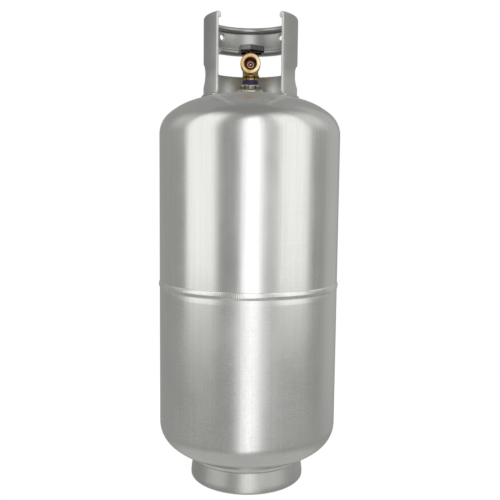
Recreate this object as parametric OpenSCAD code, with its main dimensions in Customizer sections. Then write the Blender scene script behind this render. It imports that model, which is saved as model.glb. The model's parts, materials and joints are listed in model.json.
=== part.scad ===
// Upright propane tank of welded aluminium: two deep-drawn shell halves, a foot ring,
// a guard collar with hand holds, and a brass overfill-protected service valve.
// Millimetres. Origin at ground level in the centre of the foot ring, +Z up,
// valve outlet and collar gap facing -Y.

/* [Shell] */
// Outer radius of the cylinder body
shell_r = 155.5; // [150:0.5:160]
// Wall thickness of both shell halves
shell_wall = 3.7; // [3:0.1:4.5]
// Height where the bottom head starts
lower_tangent_z = 101.5; // [98:0.5:105]
// Height where the top head starts
upper_tangent_z = 603.4; // [602:0.2:605]
// Radius of the tight outer arc of a head
knuckle_r = 46; // [40:1:52]
// Radius of the middle arc of a head
shoulder_r = 122; // [110:1:130]
// Angle where the knuckle runs into the shoulder
knuckle_turn = 50; // [45:1:55]
// Angle where the shoulder runs into the crown
shoulder_turn = 72.6; // [70:0.2:75]

/* [Girth weld] */
// Height of the middle of the girth weld
girth_z = 346.5; // [300:0.5:400]
// Width of the weld bead on the outside
bead_w = 13; // [10:0.5:16]
// Height of the weld bead above the shell
bead_h = 1.5; // [1:0.1:2]

/* [Foot ring] */
// Outer radius of the foot ring at the ground
foot_r = 99.8; // [97:0.1:102]
// Outer radius of the foot ring where it meets the head
foot_neck_r = 94.5; // [93:0.1:96]
// Plate thickness of the foot ring
foot_wall = 3.5; // [3:0.1:4]
// Inner radius of the flange that stands on the ground
foot_flange_r = 84; // [80:1:88]
// Outer radius of the rolled bottom corner
foot_corner_r = 5; // [4.5:0.1:6]

/* [Collar] */
// Outer radius of the collar
collar_r = 80.5; // [78:0.1:82]
// Plate thickness of the collar
collar_wall = 4.8; // [4:0.1:5]
// Height of the top of the rolled rim
collar_top_z = 801; // [795:0.5:810]
// Radius of the rolled rim
rim_roll_r = 5.2; // [5:0.05:5.5]
// Half the angle of the gap in front of the valve
gap_half = 42.4; // [38:0.2:46]
// Turn of the whole collar about the tank's axis
collar_turn = -1.2; // [-3:0.1:3]

/* [Collar openings] */
// Bottom of the hand hold at the back
window_low_z = 714; // [712:0.5:718]
// Top of the hand hold at the back
window_high_z = 751; // [748:0.5:754]
// Width of the hand hold, measured straight across
window_w = 128; // [110:1:134]
// Radius of the hand hold's corners
window_corner_r = 9; // [6:0.5:12]
// Radius of the rolled lip over the hand hold
lip_r = 5.25; // [4.5:0.05:5.5]
// Middle height of the side slots
slot_z = 703; // [700:0.5:706]
// Height of a side slot
slot_h = 38; // [37:1:40]
// Width of a side slot, measured straight across
slot_w = 55; // [44:1:60]
// Radius of a side slot's corners
slot_corner_r = 18.5; // [10:0.5:18.5]
// Radius of the two small holes under the rim
rim_hole_r = 5; // [3:0.5:6]
// Height of the small holes
rim_hole_z = 781; // [778:0.5:783]
// Angle of the small holes from the front
rim_hole_turn = 136.5; // [130:0.5:140]

/* [Valve boss] */
// Radius of the boss welded into the top head
boss_r = 18.7; // [18.2:0.1:19.2]
// Height of the top of the boss
boss_top_z = 689; // [687:0.5:690]

/* [Valve body] */
// Radius of the screwed shank
shank_r = 13; // [12.8:0.1:13.2]
// Height where the sealant ends and the brass body starts
neck_z = 695.5; // [694:0.5:697]
// Radius of the body barrel
barrel_r = 14.2; // [13.8:0.1:14.6]
// Width across the wrench flats
barrel_w = 26.6; // [26:0.1:27]
// Height of the top of the body
barrel_top_z = 733; // [732:0.5:734]
// Radius of the chamber over the main seat
chamber_r = 6.5; // [6.3:0.1:6.6]

/* [Outlet] */
// Height of the outlet's axis
outlet_z = 719; // [718:0.5:720]
// Distance of the outlet's face from the tank's axis
outlet_reach = 46; // [45:0.5:48]
// Crest radius of the outer screw thread
outer_thread_r = 16.67; // [16.6:0.01:16.8]
// Pitch of the outer screw thread
outer_pitch = 4.23; // [4:0.01:4.4]
// Wall radius of the inner screw thread
inner_thread_r = 10.2; // [10.1:0.05:10.3]
// Radius of the bore that holds the check valve
check_bore_r = 8.6; // [8.4:0.05:8.8]

/* [Relief valve] */
// Outer radius of the relief valve's arm
relief_arm_r = 11; // [10.5:0.1:11.5]
// Radius of the relief valve's bore
relief_bore_r = 7.5; // [7.3:0.1:7.7]
// Length of the arm from the tank's axis
relief_reach = 34; // [33.5:0.5:35]

/* [Handwheel] */
// Distance of the handwheel's six corners from the stem
handwheel_r = 24; // [22.5:0.5:26]
// Half the angle each short end face takes up, seen from the stem
end_half = 22; // [18:1:28]
// Height of the handwheel's underside
handwheel_z = 743; // [742.5:0.1:744.4]
// Thickness of the handwheel
handwheel_h = 11.4; // [11:0.1:12.5]
// Turn of the handwheel's end faces
handwheel_turn = -22; // [-60:1:60]

/* [Overfill protection] */
// Outer radius of the overfill housing
opd_r = 8; // [7.6:0.1:8.2]
// Height of the housing's lower end
opd_low_z = 560; // [550:1:570]
// Angle of the float arm below level when the float hangs
float_droop = 60; // [55:1:65]
// Radius of the float
float_r = 9; // [8:0.5:10]
// Length of the float
float_len = 46; // [40:1:50]
// Height of the dip tube's open end
dip_low_z = 545; // [540:1:550]

/* [Hidden] */
$fn = 96;
eps = 0.01;
far = 400;

// Centres of a head's three arcs, measured from the tangent line, with the radius of the crown
knuckle_c = [shell_r - knuckle_r, 0];
shoulder_c = knuckle_c - (shoulder_r - knuckle_r) * [cos(knuckle_turn), sin(knuckle_turn)];
crown_r = shoulder_r + shoulder_c[0] / cos(shoulder_turn);
crown_c = shoulder_c - (crown_r - shoulder_r) * [cos(shoulder_turn), sin(shoulder_turn)];
// Length of plain cylinder added to a head when it trims another part
trim_h = 20;

// Seam between the halves: the lower half steps inward under the upper half's bevelled edge
seam_low_z = girth_z - bead_w / 2;
seam_high_z = girth_z + bead_w / 2;
seam_bevel = 4;
joggle_h = 6;
joggle_len = 22;
joggle_gap = 0.1;
joggle_r = shell_r - shell_wall - joggle_gap;
bead_arc_r = (pow(bead_w / 2, 2) + pow(bead_h, 2)) / (2 * bead_h);

// Foot ring: a cylindrical land above the bottom corner, then an S-curve up to the neck
foot_land_z = 8;
foot_neck_z = 25;
foot_flare = foot_r - foot_neck_r;
foot_curve_h = foot_neck_z - foot_land_z;
foot_curve_r = (pow(foot_curve_h, 2) + pow(foot_flare, 2)) / (4 * foot_flare);
foot_weld_z = 36;
foot_weld_leg = [8, 10];

// Collar
collar_base_z = 660;
rim_c = [collar_r - rim_roll_r, collar_top_z - rim_roll_r];
slit_w = 0.8;
slit_in = 0.5;
lip_c = [collar_r - lip_r, window_high_z + lip_r];
front = -90;
foot_corner_turn = 9;
toe_r = 24;
toe_overlap = 0.15;
toe_z = 682;
collar_bead_r = 4;
collar_blob_r = 4.8;
collar_bead_z = 667.6;
collar_bead_out = 0.6;

// Boss
boss_low_z = 662;
boss_step_z = 679;
boss_land_r = 17.1;
boss_chamfer = 2;
boss_bead_r = 4;
boss_bead_z = 675.4;
boss_bead_out = 0.4;

// Valve body passages
shank_low_z = 655;
inlet_r = 3;
opd_socket_r = 6;
opd_socket_z = 663;
seat_z = 706;
seat_r = 4.5;
chamber_z = 704.5;
sealant_t = 0.6;
shoulder_z = 697.5;
neck_step = 0.3;
waist_low_z = 700.5;
waist_high_z = 706;
waist_r = 12.8;

// Relief feed and dip tube drillings beside the inlet
relief_feed_y = 9.4;
relief_feed_r = 1.8;
relief_hole_r = 2.8;
relief_seat_y = 13;
dip_r = 1.6;
dip_bore_r = 1;
dip_reach = 10.2;
dip_top_z = 672;
bleed_turn = 150;
bleed_z = 706;
bleed_arm_r = 5;
bleed_arm_reach = 20;
bleed_bore_r = 2.6;
bleed_seat_reach = 12;
bleed_gasket_t = 0.6;
bleed_gasket_r = 4;
bleed_head_r = 4.2;
bleed_head_h = 3.4;

// Outlet, measured outward along its axis
outer_root = 1.7;
outlet_neck_r = 13.9;
thread_start = 27;
thread_relief = 4;
thread_lead = 1.5;
mouth_chamfer = 1;
inner_pitch = 1.81;
inner_depth = 0.95;
inner_threads = 4;
inner_land = 0.2;
inner_lead = 1.5;
cone_start = 31.5;
cone_end = 34;
check_floor = 13;
check_port_r = 2.3;
check_port_z = 713.5;

// Check valve in the outlet; each spring is its coil radius, wire radius and number of turns
plunger_flange = [21.5, 24.5];
plunger_nose_r = 5.4;
plunger_nose_end = 31;
plunger_dish = 2.5;
plunger_rim = 1.2;
plunger_post_r = 1.5;
retainer = [26.5, 29.5];
retainer_hole_r = 6.2;
outlet_seal_r = 6.9;
check_spring = [6, 0.6, 4];

// Bonnet and stems
bonnet_hex_r = 13.8;
bonnet_low_z = 727;
gasket_t = 0.8;
gasket_r = 11.5;
bonnet_hex_top_z = 739;
gland_r = 7.2;
gland_top_z = 743.5;
stem_r = 4;
running_gap = 0.05;
stem_flange_r = 5;
stem_flange_h = 3;
stem_ring_z = [733, 738];
stem_ring_r = stem_r - 0.1;
stem_cord_r = 0.85;
stem_shoulder_z = 744.5;
stem_top_z = 752;
tang_w = 4.6;
tang_low_z = 716.5;
stem_square_w = 5.6;
screw_low_z = 742;
screw_r = 1.5;
screw_head_r = 5;
screw_head_h = 2.2;
screw_slot_w = 1;
screw_slot_h = 1.2;
carrier_low_z = 716;
carrier_top_z = 722;
carrier_r = chamber_r - running_gap;
spindle_r = 3.8;
disc_r = 5;
disc_h = 2.5;

// Relief valve, measured outward along its axis
poppet_low = 14.5;
poppet_high = 18;
poppet_r = 6.6;
poppet_stem_r = 2.4;
poppet_stem_end = 30;
adjuster = [28, 32];
relief_seal_r = 5;
relief_coil = [5.4, 0.8, 4];
cap_gap = 0.8;
cap_wall = 1.5;
cap_h = 1.8;
cap_shoulder_r = 9.2;

// Overfill device
pivot_z = opd_low_z + 6;
opd_bore_r = 5;
opd_bore_z = [590, 640];
opd_port_z = 637.8;
opd_spigot_z = opd_socket_z;
piston_z = [618, 634];
piston_stem_r = 2;
opd_seal_r = 4.2;
opd_seal_h = 2;
opd_coil = [3.7, 0.5, 7];
arm_slot_w = 4.4;
arm_slot_h = 13;
arm_w = 4;
arm_hub_r = 3;
arm_rod_r = 1.3;
arm_len = 34;
pin_r = 1.2;

// Half-section of the space inside one head, pulled in by inset. Each arc runs from the axis
// out to the angle where the next, tighter arc takes over, so the three pieces overlap.
module head_section(inset) {
    module arc_piece(centre, radius, turn) {
        reach = 2 * radius;
        intersection() {
            translate(centre)
                circle(r = radius - inset, $fn = 360);
            polygon([
                [0, centre[1]],
                centre,
                centre + reach * [cos(turn), sin(turn)],
                [0, centre[1] + reach]
            ]);
        }
    }
    arc_piece(crown_c, crown_r, shoulder_turn);
    arc_piece(shoulder_c, shoulder_r, knuckle_turn);
    translate(knuckle_c)
        circle(r = knuckle_r - inset, $fn = 360);
    translate([0, -knuckle_r])
        square([knuckle_c[0], 2 * knuckle_r - inset - 4]);
}

module top_head_section(inset, low_z) {
    translate([0, upper_tangent_z])
        head_section(inset);
    translate([0, low_z])
        square([shell_r - inset, upper_tangent_z - low_z]);
}

module bottom_head_section(inset, high_z) {
    translate([0, lower_tangent_z])
        mirror([0, 1])
            head_section(inset);
    translate([0, lower_tangent_z])
        square([shell_r - inset, high_z - lower_tangent_z]);
}

// Solid outer form of each head, used to trim what is welded on to it
module top_head_solid() {
    rotate_extrude()
        top_head_section(0, upper_tangent_z - trim_h);
}

module bottom_head_solid() {
    rotate_extrude()
        bottom_head_section(0, lower_tangent_z + trim_h);
}

// Ring about the tank's axis, turning from one angle to another
module arc_sweep(from, to) {
    rotate([0, 0, from])
        rotate_extrude(angle = to - from)
            children();
}

// Round bar that points away from the tank's axis at an angle, between two distances
module radial_bar(turn, z, r, from, to) {
    translate([0, 0, z])
        rotate([0, 0, turn])
            rotate([0, 90, 0])
                translate([0, 0, from])
                    cylinder(h = to - from, r = r);
}

// Frames with their +Z along the outlet, the relief arm and the bleed arm
module along_outlet() {
    translate([0, 0, outlet_z])
        rotate([90, 0, 0])
            children();
}

module along_relief() {
    translate([0, 0, outlet_z])
        rotate([-90, 0, 0])
            children();
}

module along_bleed() {
    translate([0, 0, bleed_z])
        rotate([0, 0, front + bleed_turn])
            rotate([0, 90, 0])
                children();
}

// Hollow round bar on the local Z axis
module tube(low, high, outer_r, inner_r) {
    translate([0, 0, low])
        difference() {
            cylinder(h = high - low, r = outer_r);
            translate([0, 0, -eps])
                cylinder(h = high - low + 2 * eps, r = inner_r);
        }
}

module rod(low, high, r) {
    translate([0, 0, low])
        cylinder(h = high - low, r = r);
}

module square_rod(low, high, w) {
    translate([-w / 2, -w / 2, low])
        cube([w, w, high - low]);
}

// O-ring lying in the local XY plane
module o_ring(z, r, cord_r) {
    translate([0, 0, z])
        rotate_extrude()
            translate([r, 0])
                circle(r = cord_r, $fn = 32);
}

// Round-wire compression spring on the local Z axis
module coil(low, high, r, wire_r, turns) {
    sides = 8;
    steps = turns * 20;
    rise = high - low - 2 * wire_r;
    points = [
        for (i = [0 : steps])
            for (j = [0 : sides - 1])
                let (a = 360 * turns * i / steps, b = 360 * j / sides, ring = r + wire_r * cos(b))
                    [ring * cos(a), ring * sin(a), low + wire_r + rise * i / steps + wire_r * sin(b)]
    ];
    sleeve = [
        for (i = [0 : steps - 1])
            for (j = [0 : sides - 1])
                let (k = (j + 1) % sides, here = i * sides, next = here + sides)
                    each [[here + j, here + k, next + k], [here + j, next + k, next + j]]
    ];
    first_end = [[for (j = [0 : sides - 1]) sides - 1 - j]];
    last_end = [[for (j = [0 : sides - 1]) steps * sides + j]];
    polyhedron(points, concat(sleeve, first_end, last_end));
}

// Shell ---------------------------------------------------------------------------------------

module upper_shell() {
    root_z = seam_high_z - seam_bevel;
    color("silver")
        difference() {
            rotate_extrude()
                difference() {
                    top_head_section(0, root_z);
                    top_head_section(shell_wall, root_z - 1);
                    polygon([
                        [shell_r - shell_wall, root_z],
                        [shell_r, seam_high_z],
                        [shell_r + 1, seam_high_z],
                        [shell_r + 1, root_z - 1],
                        [shell_r - shell_wall, root_z - 1]
                    ]);
                }
            rod(boss_low_z, boss_top_z, boss_r);
        }
}

module lower_shell() {
    inner_r = shell_r - shell_wall;
    joggle_top = seam_low_z + joggle_len;
    color("silver")
        rotate_extrude() {
            difference() {
                bottom_head_section(0, seam_low_z);
                bottom_head_section(shell_wall, seam_low_z + 1);
            }
            polygon([
                [shell_r, seam_low_z],
                [joggle_r, seam_low_z + joggle_h],
                [joggle_r, joggle_top],
                [joggle_r - shell_wall, joggle_top],
                [joggle_r - shell_wall, seam_low_z + joggle_h],
                [inner_r, seam_low_z]
            ]);
        }
}

// Bead that fills the groove over the step and stands proud of both halves
module girth_weld() {
    crown_x = shell_r + bead_h - bead_arc_r;
    color("gainsboro")
        rotate_extrude() {
            polygon([
                [shell_r, seam_low_z],
                [shell_r, seam_high_z],
                [joggle_r + joggle_gap, seam_high_z - seam_bevel],
                [joggle_r, seam_high_z - seam_bevel],
                [joggle_r, seam_low_z + joggle_h]
            ]);
            intersection() {
                translate([crown_x, girth_z])
                    circle(r = bead_arc_r, $fn = 120);
                translate([shell_r, girth_z - bead_w / 2])
                    square([bead_h + 1, bead_w]);
            }
        }
}

// Foot ----------------------------------------------------------------------------------------

// Filled half-section under the foot ring's outer face, pulled in by inset
module foot_section(inset) {
    mid_z = (foot_land_z + foot_neck_z) / 2;
    translate([0, inset])
        square([foot_r - foot_corner_r, foot_corner_r - inset]);
    translate([foot_r - foot_corner_r, foot_corner_r])
        circle(r = foot_corner_r - inset);
    translate([0, foot_corner_r])
        square([foot_r - inset, foot_land_z - foot_corner_r]);
    intersection() {
        translate([foot_r - foot_curve_r, foot_land_z])
            circle(r = foot_curve_r - inset);
        translate([0, foot_land_z])
            square([foot_r, mid_z - foot_land_z]);
    }
    translate([0, foot_land_z])
        square([foot_r - foot_curve_r, mid_z - foot_land_z]);
    difference() {
        translate([0, mid_z])
            square([foot_r, foot_neck_z - mid_z]);
        translate([foot_neck_r + foot_curve_r, foot_neck_z])
            circle(r = foot_curve_r + inset);
    }
    translate([0, foot_neck_z])
        square([foot_neck_r - inset, 60 - foot_neck_z]);
}

module foot_ring() {
    color("darkgray")
        difference() {
            rotate_extrude()
                difference() {
                    foot_section(0);
                    difference() {
                        foot_section(foot_wall);
                        square([foot_r, foot_wall]);
                    }
                    square([foot_flange_r, far]);
                }
            bottom_head_solid();
        }
}

module foot_weld() {
    color("gainsboro")
        difference() {
            rotate_extrude()
                polygon([
                    [foot_neck_r, foot_weld_z],
                    [foot_neck_r + foot_weld_leg[0], foot_weld_z + foot_weld_leg[1]],
                    [foot_neck_r, foot_weld_z + foot_weld_leg[1]]
                ]);
            bottom_head_solid();
        }
}

// Collar --------------------------------------------------------------------------------------

// Flat plate outline with rounded corners
module rounded_plate(w, h, r) {
    square([w, h - 2 * r], center = true);
    square([w - 2 * r, h], center = true);
    for (x = [-1, 1])
        for (y = [-1, 1])
            translate([x * (w / 2 - r), y * (h / 2 - r)])
                circle(r = r);
}

// Punch that runs out from the tank's axis at an angle, shaped like its children seen from outside
module punch(turn, z) {
    translate([0, 0, z])
        rotate([90, 0, turn + 90])
            translate([0, 0, collar_r / 3])
                linear_extrude(collar_r)
                    children();
}

// Waste outside the rounded toe where the plate's front edge comes down to the head
module toe_waste(edge, side) {
    inner = collar_r - 2 * collar_wall;
    outer = collar_r + collar_wall;
    toe_half = asin((toe_r - toe_overlap) / collar_r);
    from = side > 0 ? edge - 1 : edge - foot_corner_turn;
    difference() {
        arc_sweep(from, from + foot_corner_turn + 1)
            translate([inner, collar_base_z - 1])
                square([outer - inner, toe_z - collar_base_z + 1]);
        radial_bar(edge + side * toe_half, toe_z, toe_r, inner - 1, outer + 1);
    }
}

// Slit that makes the rim a sheet rolled inward and down, open at its underside
module rim_slit() {
    translate([rim_c[0] - slit_in - slit_w, rim_c[1] - rim_roll_r - 1])
        square([slit_w, rim_roll_r + 1]);
}

module collar() {
    start = front + gap_half;
    end = front + 360 - gap_half;
    lip_end_turn = 2.5;
    lip_half = asin(window_w / 2 / collar_r) - lip_end_turn;
    window_mid_z = (window_low_z + window_high_z) / 2;
    color("darkgray")
        rotate([0, 0, collar_turn])
            difference() {
                union() {
                    arc_sweep(start, end) {
                        translate([collar_r - collar_wall, collar_base_z])
                            square([collar_wall, rim_c[1] - collar_base_z]);
                        translate(rim_c)
                            circle(r = rim_roll_r, $fn = 48);
                    }
                    arc_sweep(90 - lip_half, 90 + lip_half)
                        translate(lip_c)
                            circle(r = lip_r, $fn = 48);
                }
                top_head_solid();
                punch(90, window_mid_z)
                    rounded_plate(window_w, window_high_z - window_low_z, window_corner_r);
                for (turn = [0, 180])
                    punch(turn, slot_z)
                        rounded_plate(slot_w, slot_h, slot_corner_r);
                for (side = [-1, 1])
                    radial_bar(
                        front + side * rim_hole_turn, rim_hole_z, rim_hole_r,
                        collar_r - 5 * collar_wall, collar_r + 2 * collar_wall
                    );
                toe_waste(start, 1);
                toe_waste(end, -1);
                rotate_extrude()
                    rim_slit();
            }
}

// Fillet bead along the foot of the collar, with a round blob at each end
module collar_weld() {
    inset = 3.6;
    start = front + gap_half + inset;
    end = front + 360 - gap_half - inset;
    color("gainsboro")
        rotate([0, 0, collar_turn])
            difference() {
                union() {
                    arc_sweep(start, end)
                        translate([collar_r + collar_bead_out, collar_bead_z])
                            circle(r = collar_bead_r, $fn = 32);
                    for (turn = [start, end])
                        rotate([0, 0, turn])
                            translate([collar_r + collar_bead_out, 0, collar_bead_z])
                                sphere(r = collar_blob_r, $fn = 32);
                }
                rod(collar_base_z - 10, collar_top_z, collar_r);
                top_head_solid();
            }
}

// Valve boss ----------------------------------------------------------------------------------

module valve_boss() {
    color("silver")
        rotate_extrude()
            polygon([
                [shank_r, boss_low_z],
                [boss_r, boss_low_z],
                [boss_r, boss_step_z],
                [boss_land_r, boss_step_z],
                [boss_land_r, boss_top_z - boss_chamfer],
                [boss_land_r - boss_chamfer, boss_top_z],
                [shank_r, boss_top_z]
            ]);
}

module boss_weld() {
    color("gainsboro")
        difference() {
            rotate_extrude()
                difference() {
                    translate([boss_r + boss_bead_out, boss_bead_z])
                        circle(r = boss_bead_r, $fn = 32);
                    square([boss_r, far * 2]);
                }
            top_head_solid();
        }
}

module thread_sealant() {
    color("darkslateblue")
        tube(boss_top_z, neck_z, shank_r + sealant_t, shank_r);
}

// Valve body ----------------------------------------------------------------------------------

// Ring grooves that leave the outer screw thread's crests
module outer_thread_grooves() {
    crest = 0.37 * outer_pitch;
    flank = 0.13 * outer_pitch;
    count = floor((outlet_reach - thread_start - 2) / outer_pitch);
    for (i = [0 : count - 1])
        translate([0, 0, thread_start + i * outer_pitch])
            rotate_extrude()
                polygon([
                    [outer_thread_r - outer_root, flank],
                    [outer_thread_r + 1, 0],
                    [outer_thread_r + 1, outer_pitch - crest],
                    [outer_thread_r - outer_root, outer_pitch - crest - flank]
                ]);
}

module inner_thread_grooves() {
    for (i = [1 : inner_threads])
        translate([0, 0, outlet_reach - inner_lead - i * inner_pitch])
            rotate_extrude()
                polygon([
                    [inner_thread_r - 1, 0],
                    [inner_thread_r, inner_land],
                    [inner_thread_r + inner_depth, inner_pitch / 2],
                    [inner_thread_r, inner_pitch - inner_land],
                    [inner_thread_r - 1, inner_pitch]
                ]);
}

module valve_body_blank() {
    rod(shank_low_z, neck_z, shank_r);
    intersection() {
        union() {
            rod(neck_z, shoulder_z, shank_r + neck_step);
            rod(shoulder_z, waist_low_z, barrel_r);
            translate([0, 0, waist_low_z])
                cylinder(h = waist_high_z - waist_low_z, r1 = waist_r, r2 = barrel_r);
            rod(waist_high_z, barrel_top_z, barrel_r);
        }
        translate([-barrel_w / 2, -far / 2, shank_low_z])
            cube([barrel_w, far, barrel_top_z - shank_low_z]);
    }
    along_outlet() {
        rod(0, thread_start - thread_relief, outlet_neck_r);
        rod(thread_start - thread_relief, thread_start - thread_lead, outer_thread_r - outer_root);
        rod(thread_start - thread_lead, outlet_reach - mouth_chamfer, outer_thread_r);
        translate([0, 0, outlet_reach - mouth_chamfer])
            cylinder(h = mouth_chamfer, r1 = outer_thread_r, r2 = outer_thread_r - mouth_chamfer);
    }
    along_relief()
        rod(0, relief_reach, relief_arm_r);
    along_bleed()
        rod(0, bleed_arm_reach, bleed_arm_r);
}

module valve_body() {
    color("goldenrod")
        difference() {
            valve_body_blank();
            // inlet, main seat and stem chamber
            rod(shank_low_z - 1, opd_socket_z, opd_socket_r);
            rod(shank_low_z - 1, seat_z + 1, inlet_r);
            tube(chamber_z, seat_z + eps, chamber_r, seat_r);
            rod(seat_z, barrel_top_z + 1, chamber_r);
            // outlet: screw thread, cone seat, check valve bore and port
            along_outlet() {
                outer_thread_grooves();
                rod(cone_end, outlet_reach + 1, inner_thread_r);
                inner_thread_grooves();
                translate([0, 0, outlet_reach - mouth_chamfer])
                    cylinder(h = mouth_chamfer + eps, r1 = inner_thread_r, r2 = inner_thread_r + 1.2);
                translate([0, 0, cone_start])
                    cylinder(h = cone_end - cone_start, r1 = check_bore_r, r2 = inner_thread_r);
                rod(check_floor, cone_end, check_bore_r);
                translate([0, check_port_z - outlet_z, 0])
                    rod(4, check_floor + 1, check_port_r);
            }
            // relief valve feed, seat and bore
            translate([0, relief_feed_y, 0])
                rod(shank_low_z - 1, outlet_z, relief_feed_r);
            along_relief() {
                rod(relief_feed_y - 1, relief_seat_y + 1, relief_hole_r);
                rod(relief_seat_y, relief_reach + 1, relief_bore_r);
            }
            // dip tube socket and bleed drillings
            rotate([0, 0, front + bleed_turn])
                translate([dip_reach, 0, 0]) {
                    rod(shank_low_z - 1, dip_top_z, dip_r);
                    rod(dip_top_z - 1, bleed_z, dip_bore_r);
                }
            along_bleed() {
                rod(dip_reach, bleed_seat_reach + 1, dip_bore_r);
                rod(bleed_seat_reach, bleed_arm_reach + 1, bleed_bore_r);
            }
        }
}

module bonnet_gasket() {
    color("dimgray")
        tube(barrel_top_z, barrel_top_z + gasket_t, gasket_r, chamber_r);
}

module bonnet() {
    hex_low_z = barrel_top_z + gasket_t;
    color("goldenrod")
        difference() {
            union() {
                rod(bonnet_low_z, hex_low_z, chamber_r);
                translate([0, 0, hex_low_z])
                    cylinder(h = bonnet_hex_top_z - hex_low_z, r = bonnet_hex_r, $fn = 6);
                rod(bonnet_hex_top_z, gland_top_z, gland_r);
            }
            rod(bonnet_low_z - 1, gland_top_z + 1, stem_r + running_gap);
            rod(bonnet_low_z - 1, bonnet_low_z + stem_flange_h + 0.2, stem_flange_r + running_gap);
        }
}

// Handwheel and stems -------------------------------------------------------------------------

module stem_upper() {
    color("goldenrod")
        difference() {
            union() {
                square_rod(tang_low_z, bonnet_low_z, tang_w);
                rod(bonnet_low_z, bonnet_low_z + stem_flange_h, stem_flange_r);
                rod(bonnet_low_z + stem_flange_h, stem_shoulder_z, stem_r);
                square_rod(stem_shoulder_z, stem_top_z, stem_square_w);
            }
            for (z = stem_ring_z)
                o_ring(z, stem_ring_r, stem_cord_r);
            rod(screw_low_z, stem_top_z + 1, screw_r);
        }
}

module stem_orings() {
    color("black")
        intersection() {
            for (z = stem_ring_z)
                o_ring(z, stem_ring_r, stem_cord_r);
            rod(stem_ring_z[0] - 1, stem_ring_z[1] + 1, stem_r + running_gap - eps);
        }
}

// Outline of the handwheel: a triangle whose corners are cut off square to make three short end faces
module handwheel_outline() {
    polygon([
        for (i = [0 : 2])
            for (n = [-1, 1])
                handwheel_r * [cos(30 + 120 * i + n * end_half), sin(30 + 120 * i + n * end_half)]
    ]);
}

module handwheel() {
    hub_r = 8;
    recess_r = 6.5;
    hollow_h = 5.5;
    hollow_scale = 0.86;
    color("darkslategray")
        rotate([0, 0, handwheel_turn])
            difference() {
                union() {
                    difference() {
                        translate([0, 0, handwheel_z])
                            linear_extrude(handwheel_h)
                                handwheel_outline();
                        // hollow underside
                        translate([0, 0, handwheel_z - 1])
                            linear_extrude(hollow_h + 1)
                                scale(hollow_scale)
                                    handwheel_outline();
                    }
                    rod(stem_shoulder_z, handwheel_z + hollow_h + 1, hub_r);
                }
                rotate([0, 0, -handwheel_turn])
                    square_rod(stem_shoulder_z - 1, stem_top_z + 1, stem_square_w);
                rod(stem_top_z, handwheel_z + handwheel_h + 1, recess_r);
            }
}

module handwheel_screw() {
    head_top_z = stem_top_z + screw_head_h;
    slot_len = 6;
    color("gray")
        difference() {
            union() {
                rod(screw_low_z, stem_top_z + 1, screw_r);
                rod(stem_top_z, head_top_z, screw_head_r);
            }
            for (a = [0, 90])
                rotate([0, 0, a])
                    translate([-slot_len / 2, -screw_slot_w / 2, head_top_z - screw_slot_h])
                        cube([slot_len, screw_slot_w, screw_slot_h + 1]);
        }
}

module stem_lower() {
    hole_w = tang_w + 2 * running_gap;
    carrier_hole_z = carrier_low_z - 3;
    color("goldenrod")
        difference() {
            union() {
                rod(seat_z + disc_h, carrier_low_z, spindle_r);
                rod(carrier_low_z, carrier_top_z, carrier_r);
            }
            square_rod(carrier_hole_z, carrier_top_z + 1, hole_w);
        }
}

module seat_disc() {
    color("black")
        rod(seat_z, seat_z + disc_h, disc_r);
}

// Outlet check valve --------------------------------------------------------------------------

module outlet_plunger() {
    notch_r = 1.6;
    color("peru")
        along_outlet()
            difference() {
                union() {
                    rod(plunger_flange[0], plunger_flange[1], check_bore_r - running_gap);
                    rod(plunger_flange[1], plunger_nose_end, plunger_nose_r);
                }
                // gas notches round the flange, and the dished nose with its centre post
                for (i = [0 : 3])
                    rotate([0, 0, 45 + 90 * i])
                        translate([check_bore_r, 0, 0])
                            rod(plunger_flange[0] - 1, plunger_flange[1] + 1, notch_r);
                tube(
                    plunger_nose_end - plunger_dish, plunger_nose_end + 1,
                    plunger_nose_r - plunger_rim, plunger_post_r
                );
            }
}

module outlet_seal() {
    color("black")
        along_outlet()
            tube(plunger_flange[1], retainer[0], outlet_seal_r, plunger_nose_r);
}

module outlet_spring() {
    color("lightgray")
        along_outlet()
            coil(check_floor, plunger_flange[0], check_spring[0], check_spring[1], check_spring[2]);
}

module outlet_retainer() {
    color("darkgoldenrod")
        along_outlet()
            tube(retainer[0], retainer[1], check_bore_r, retainer_hole_r);
}

// Relief valve --------------------------------------------------------------------------------

module relief_poppet() {
    color("goldenrod")
        along_relief() {
            rod(poppet_low, poppet_high, poppet_r);
            rod(poppet_high, poppet_stem_end, poppet_stem_r);
        }
}

module relief_seal() {
    color("black")
        along_relief()
            rod(relief_seat_y, poppet_low, relief_seal_r);
}

module relief_spring() {
    color("lightgray")
        along_relief()
            coil(poppet_high, adjuster[0], relief_coil[0], relief_coil[1], relief_coil[2]);
}

module relief_adjuster() {
    flow_hole_r = 1.2;
    flow_ring_r = 4.9;
    color("darkgoldenrod")
        along_relief()
            difference() {
                tube(adjuster[0], adjuster[1], relief_bore_r, poppet_stem_r + running_gap);
                for (i = [0 : 3])
                    rotate([0, 0, 45 + 90 * i])
                        translate([flow_ring_r, 0, 0])
                            rod(adjuster[0] - 1, adjuster[1] + 1, flow_hole_r);
            }
}

module relief_cap() {
    color("gold")
        along_relief() {
            tube(adjuster[1] + cap_gap, relief_reach, relief_bore_r, relief_bore_r - cap_wall);
            rod(relief_reach, relief_reach + cap_h, cap_shoulder_r);
        }
}

// Fixed level bleed ---------------------------------------------------------------------------

module bleed_gasket() {
    color("dimgray")
        along_bleed()
            tube(bleed_arm_reach, bleed_arm_reach + bleed_gasket_t, bleed_gasket_r, bleed_bore_r);
}

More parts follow.
